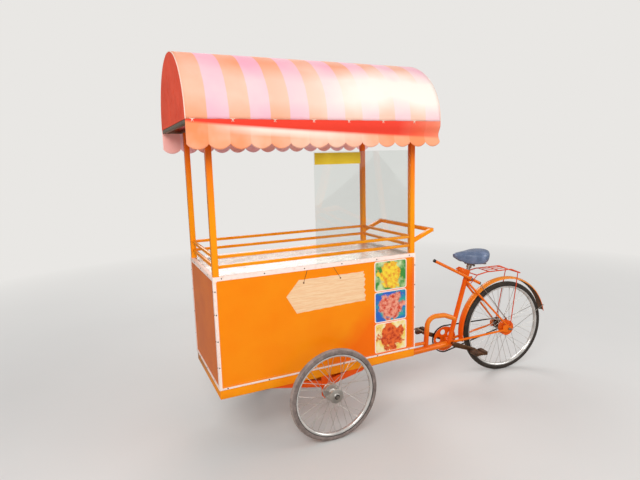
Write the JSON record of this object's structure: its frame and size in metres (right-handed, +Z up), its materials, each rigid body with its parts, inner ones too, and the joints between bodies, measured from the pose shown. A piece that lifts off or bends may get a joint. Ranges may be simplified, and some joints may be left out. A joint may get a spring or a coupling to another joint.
{
  "type": "food vending bicycle",
  "caption": "Pedal-driven vending cart: a box counter under a barrel canopy on side wheels, steered and pushed by the saddle, cranks and wheel of a cycle's rear half.",
  "frame": {"origin": "middle of the footprint's box, on the floor", "axes": "+X forward, the way it is ridden; +Y to the rider's left; +Z up"},
  "size_m": [2.5308, 0.903, 2.0829],
  "materials": {
    "orange_enamel": "glossy enamel on square steel tube",
    "side_sheet": "printed film on steel sheet, satin",
    "deep_orange_enamel": "glossy enamel on steel tube",
    "stainless_sheet": "brushed",
    "white_trim": "white lacquered angle strip",
    "canopy_cloth": "coated striped cloth, matt",
    "clear_acrylic": "clear sheet, glossy",
    "tyre_rubber": "dusty black rubber",
    "chrome_rim": "polished",
    "hub_alloy": "turned, bright spokes",
    "bright_steel": "zinc and chrome plate",
    "chain_steel": "oiled dark steel",
    "saddle_cover": "glossy moulded cover",
    "pedal_rubber": "moulded black rubber",
    "door_sheet": "pale lacquer on sheet, satin",
    "axle_steel": "bare machined steel"
  },
  "bodies": {
    "cart": {"bottom_frame": "orange_enamel", "top_frame": "orange_enamel", "corner_posts": "orange_enamel", "floor_panel": "stainless_sheet", "counter": "stainless_sheet", "left_panel": "side_sheet", "right_panel": "side_sheet", "front_panel": "side_sheet", "rear_panel": "side_sheet", "edge_trim": "white_trim", "door_tracks": "white_trim", "guard_rails": "orange_enamel", "push_handle": "orange_enamel", "menu_pane": "clear_acrylic", "roof_frame": "orange_enamel", "canopy_hoops": "orange_enamel", "canopy_cover": "canopy_cloth", "canopy_front_end": "deep_orange_enamel", "canopy_rear_end": "deep_orange_enamel", "valance": "canopy_cloth", "wheel_carriers": "orange_enamel", "stub_axles": "bright_steel", "axle_beam": "orange_enamel"},
    "front_door_body": {"front_door": "door_sheet"},
    "rear_door_body": {"rear_door": "door_sheet"},
    "front_left_wheel": {"front_left_tyre": "tyre_rubber", "front_left_rim": "chrome_rim", "front_left_hub": "hub_alloy"},
    "front_right_wheel": {"front_right_tyre": "tyre_rubber", "front_right_rim": "chrome_rim", "front_right_hub": "hub_alloy"},
    "cycle_half": {"main_frame": "deep_orange_enamel", "seat_tube": "deep_orange_enamel", "arch_brace": "deep_orange_enamel", "rear_stays": "deep_orange_enamel", "rear_axle": "axle_steel", "brake_plate": "orange_enamel", "chain": "chain_steel", "fender": "orange_enamel", "fender_wires": "bright_steel", "rack": "deep_orange_enamel", "saddle": "saddle_cover", "saddle_springs": "bright_steel", "seat_post": "bright_steel", "brake_lever": "deep_orange_enamel", "lever_bracket": "deep_orange_enamel"},
    "rear_wheel": {"rear_tyre": "tyre_rubber", "rear_rim": "chrome_rim", "rear_hub": "hub_alloy", "sprocket": "chain_steel"},
    "cranks": {"crankset": "bright_steel", "chainring": "deep_orange_enamel"},
    "left_pedal": {"pedal_left": "pedal_rubber"},
    "right_pedal": {"pedal_right": "pedal_rubber"}
  },
  "joints": [
    {"name": "steering", "type": "hinge", "parent": "cart", "child": "cycle_half", "pos_m": [0.5054, 0, 0.304], "axis": [0, 0, 1], "range_deg": [-34.2, 45.8]},
    {"name": "front_door_slide", "type": "slide", "parent": "cart", "child": "front_door_body", "axis": [-1, 0, 0], "range_m": [0, 0.522]},
    {"name": "rear_door_slide", "type": "slide", "parent": "cart", "child": "rear_door_body", "axis": [1, 0, 0], "range_m": [0, 0.522]},
    {"name": "front_left_spin", "type": "hinge", "parent": "cart", "child": "front_left_wheel", "pos_m": [0.5654, 0.4075, 0.2625], "axis": [0, 1, 0], "continuous": true},
    {"name": "front_right_spin", "type": "hinge", "parent": "cart", "child": "front_right_wheel", "pos_m": [0.5654, -0.4075, 0.2625], "axis": [0, 1, 0], "continuous": true},
    {"name": "rear_spin", "type": "hinge", "parent": "cycle_half", "child": "rear_wheel", "pos_m": [-0.91131, 0.1439, 0.325], "axis": [0.1011, 0.9949, 0], "continuous": true},
    {"name": "crank_spin", "type": "hinge", "parent": "cycle_half", "child": "cranks", "pos_m": [-0.47058, 0.09914, 0.273], "axis": [0.1011, 0.9949, 0], "continuous": true},
    {"name": "left_pedal_spin", "type": "hinge", "parent": "cranks", "child": "left_pedal", "pos_m": [-0.6185, 0.23176, 0.21136], "axis": [0.1011, 0.9949, 0], "continuous": true},
    {"name": "right_pedal_spin", "type": "hinge", "parent": "cranks", "child": "right_pedal", "pos_m": [-0.32265, -0.03349, 0.33464], "axis": [0.1011, 0.9949, 0], "continuous": true}
  ]
}
